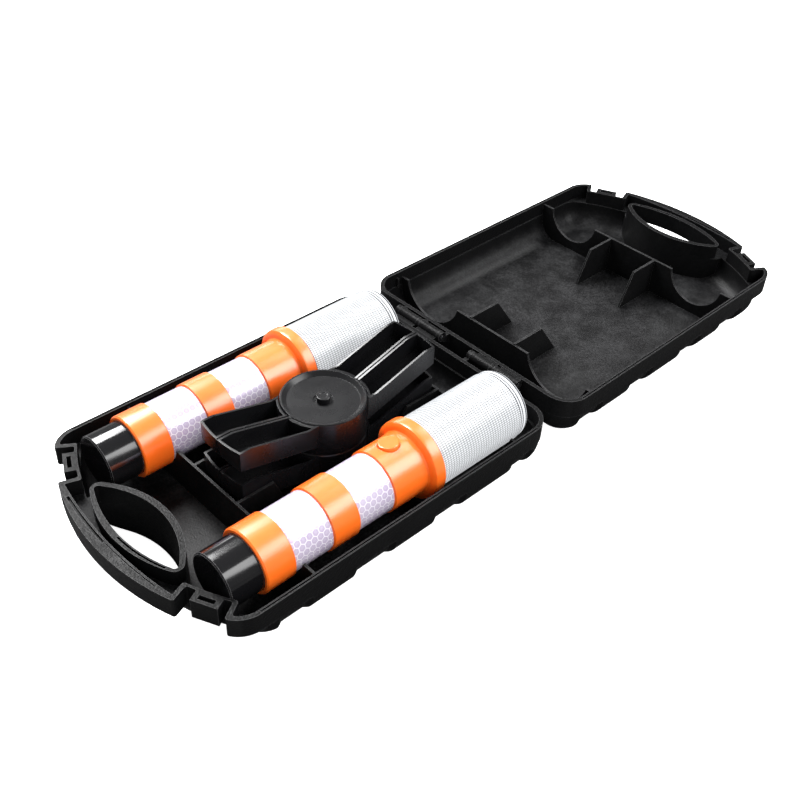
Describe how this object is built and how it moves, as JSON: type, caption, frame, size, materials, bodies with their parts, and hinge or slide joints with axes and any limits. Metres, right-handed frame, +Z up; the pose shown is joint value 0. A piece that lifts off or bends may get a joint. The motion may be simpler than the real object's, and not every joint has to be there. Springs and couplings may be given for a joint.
{
  "type": "led_safety_flare_kit",
  "caption": "LED road flare kit: hinged black carrying case opened flat, orange battery flares with clear ribbed lens, folding cross stands stowed between them",
  "frame": {"origin": "on the ground under the hinge line, midway across the case", "axes": "+Z up; X along the hinge line; -Y towards the base half's handle, +Y towards the lid half's handle"},
  "size_m": [0.2104, 0.621, 0.0715],
  "materials": {
    "case_plastic": "fine pebble texture",
    "steel": "satin",
    "stand_plastic": "gloss",
    "clear_lens": "clear ribbed plastic",
    "seal_rubber": "matte",
    "led_board": "matte",
    "led": "gloss",
    "orange_plastic": "satin",
    "reflective_tape": "honeycomb cells",
    "button_rubber": "satin",
    "switch_plastic": "matte",
    "cell": "gloss sleeve",
    "spring_steel": "bright",
    "cap_plastic": "gloss",
    "magnet": "ceramic grey",
    "wire": "satin"
  },
  "bodies": {
    "case_base": {"case_base_shell": "case_plastic", "hinge_pin_left": "steel", "hinge_pin_right": "steel"},
    "case_lid": {"case_lid_shell": "case_plastic"},
    "flare_front": {"flare_front_aa_cells": "cell", "flare_front_battery_carrier": "switch_plastic", "flare_front_board_screws": "steel", "flare_front_body_tube": "orange_plastic", "flare_front_driver_board": "led_board", "flare_front_leads": "wire", "flare_front_led_tower": "led_board", "flare_front_leds": "led", "flare_front_lens": "clear_lens", "flare_front_lens_seal": "seal_rubber", "flare_front_reflective_band_lower": "reflective_tape", "flare_front_reflective_band_upper": "reflective_tape", "flare_front_switch_board": "led_board", "flare_front_tactile_switch": "switch_plastic"},
    "flare_front_cap_body": {"flare_front_battery_cap": "cap_plastic", "flare_front_cap_seal": "seal_rubber", "flare_front_cap_magnet": "magnet", "flare_front_contact_spring": "spring_steel"},
    "flare_front_button_body": {"flare_front_button": "button_rubber"},
    "flare_rear": {"flare_rear_aa_cells": "cell", "flare_rear_battery_carrier": "switch_plastic", "flare_rear_board_screws": "steel", "flare_rear_body_tube": "orange_plastic", "flare_rear_driver_board": "led_board", "flare_rear_leads": "wire", "flare_rear_led_tower": "led_board", "flare_rear_leds": "led", "flare_rear_lens": "clear_lens", "flare_rear_lens_seal": "seal_rubber", "flare_rear_reflective_band_lower": "reflective_tape", "flare_rear_reflective_band_upper": "reflective_tape", "flare_rear_switch_board": "led_board", "flare_rear_tactile_switch": "switch_plastic"},
    "flare_rear_cap_body": {"flare_rear_battery_cap": "cap_plastic", "flare_rear_cap_seal": "seal_rubber", "flare_rear_cap_magnet": "magnet", "flare_rear_contact_spring": "spring_steel"},
    "flare_rear_button_body": {"flare_rear_button": "button_rubber"},
    "stand_lower": {"stand_lower_hub_socket": "stand_plastic", "stand_lower_pivot_rivet": "stand_plastic", "stand_lower_steel_plate": "steel"},
    "stand_lower_bar_a_body": {"stand_lower_leg_bar_a": "stand_plastic"},
    "stand_lower_bar_b_body": {"stand_lower_leg_bar_b": "stand_plastic"},
    "stand_upper": {"stand_upper_hub_socket": "stand_plastic", "stand_upper_pivot_rivet": "stand_plastic", "stand_upper_steel_plate": "steel"},
    "stand_upper_bar_a_body": {"stand_upper_leg_bar_a": "stand_plastic"},
    "stand_upper_bar_b_body": {"stand_upper_leg_bar_b": "stand_plastic"}
  },
  "joints": [
    {"name": "lid_hinge", "type": "hinge", "parent": "case_base", "child": "case_lid", "pos_m": [0, 0, 0.038], "axis": [-1, 0, 0], "range_deg": [-180, 0]},
    {"name": "flare_front_lift", "type": "slide", "parent": "case_base", "child": "flare_front", "axis": [0, 0, 1], "range_m": [0, 0.12]},
    {"name": "flare_front_button_press", "type": "slide", "parent": "flare_front", "child": "flare_front_button_body", "axis": [0.1219, 0, -0.9925], "range_m": [0, 0.001]},
    {"name": "flare_front_cap_twist", "type": "hinge", "parent": "flare_front", "child": "flare_front_cap_body", "pos_m": [0.0662, -0.26, 0.0354], "axis": [0, -1, 0], "range_deg": [0, 90]},
    {"name": "flare_rear_lift", "type": "slide", "parent": "case_base", "child": "flare_rear", "axis": [0, 0, 1], "range_m": [0, 0.12]},
    {"name": "flare_rear_button_press", "type": "slide", "parent": "flare_rear", "child": "flare_rear_button_body", "axis": [0.9781, 0, 0.2079], "range_m": [0, 0.001]},
    {"name": "flare_rear_cap_twist", "type": "hinge", "parent": "flare_rear", "child": "flare_rear_cap_body", "pos_m": [-0.0662, -0.2573, 0.0354], "axis": [0, -1, 0], "range_deg": [0, 90]},
    {"name": "stand_lower_lift", "type": "slide", "parent": "case_base", "child": "stand_lower", "axis": [0, 0, 1], "range_m": [0, 0.4]},
    {"name": "stand_lower_bar_a_turn", "type": "hinge", "parent": "stand_lower", "child": "stand_lower_bar_a_body", "pos_m": [0, -0.1313, 0.0166], "axis": [0, 0, -1], "range_deg": [0, 35]},
    {"name": "stand_lower_bar_b_turn", "type": "hinge", "parent": "stand_lower", "child": "stand_lower_bar_b_body", "pos_m": [0, -0.1313, 0.0166], "axis": [0, 0, 1], "range_deg": [0, 35]},
    {"name": "stand_upper_lift", "type": "slide", "parent": "stand_lower", "child": "stand_upper", "axis": [0, 0, 1], "range_m": [0, 0.4]},
    {"name": "stand_upper_bar_a_turn", "type": "hinge", "parent": "stand_upper", "child": "stand_upper_bar_a_body", "pos_m": [0, -0.1313, 0.04385], "axis": [0, 0, -1], "range_deg": [0, 35]},
    {"name": "stand_upper_bar_b_turn", "type": "hinge", "parent": "stand_upper", "child": "stand_upper_bar_b_body", "pos_m": [0, -0.1313, 0.04385], "axis": [0, 0, 1], "range_deg": [0, 35]}
  ],
  "couplings": [
    {"joint": "stand_lower_bar_a_turn", "follows": "stand_lower_lift", "rad_per_m": 1.5272},
    {"joint": "stand_lower_bar_b_turn", "follows": "stand_lower_lift", "rad_per_m": 1.5272},
    {"joint": "stand_upper_bar_a_turn", "follows": "stand_upper_lift", "rad_per_m": 1.5272},
    {"joint": "stand_upper_bar_b_turn", "follows": "stand_upper_lift", "rad_per_m": 1.5272}
  ]
}
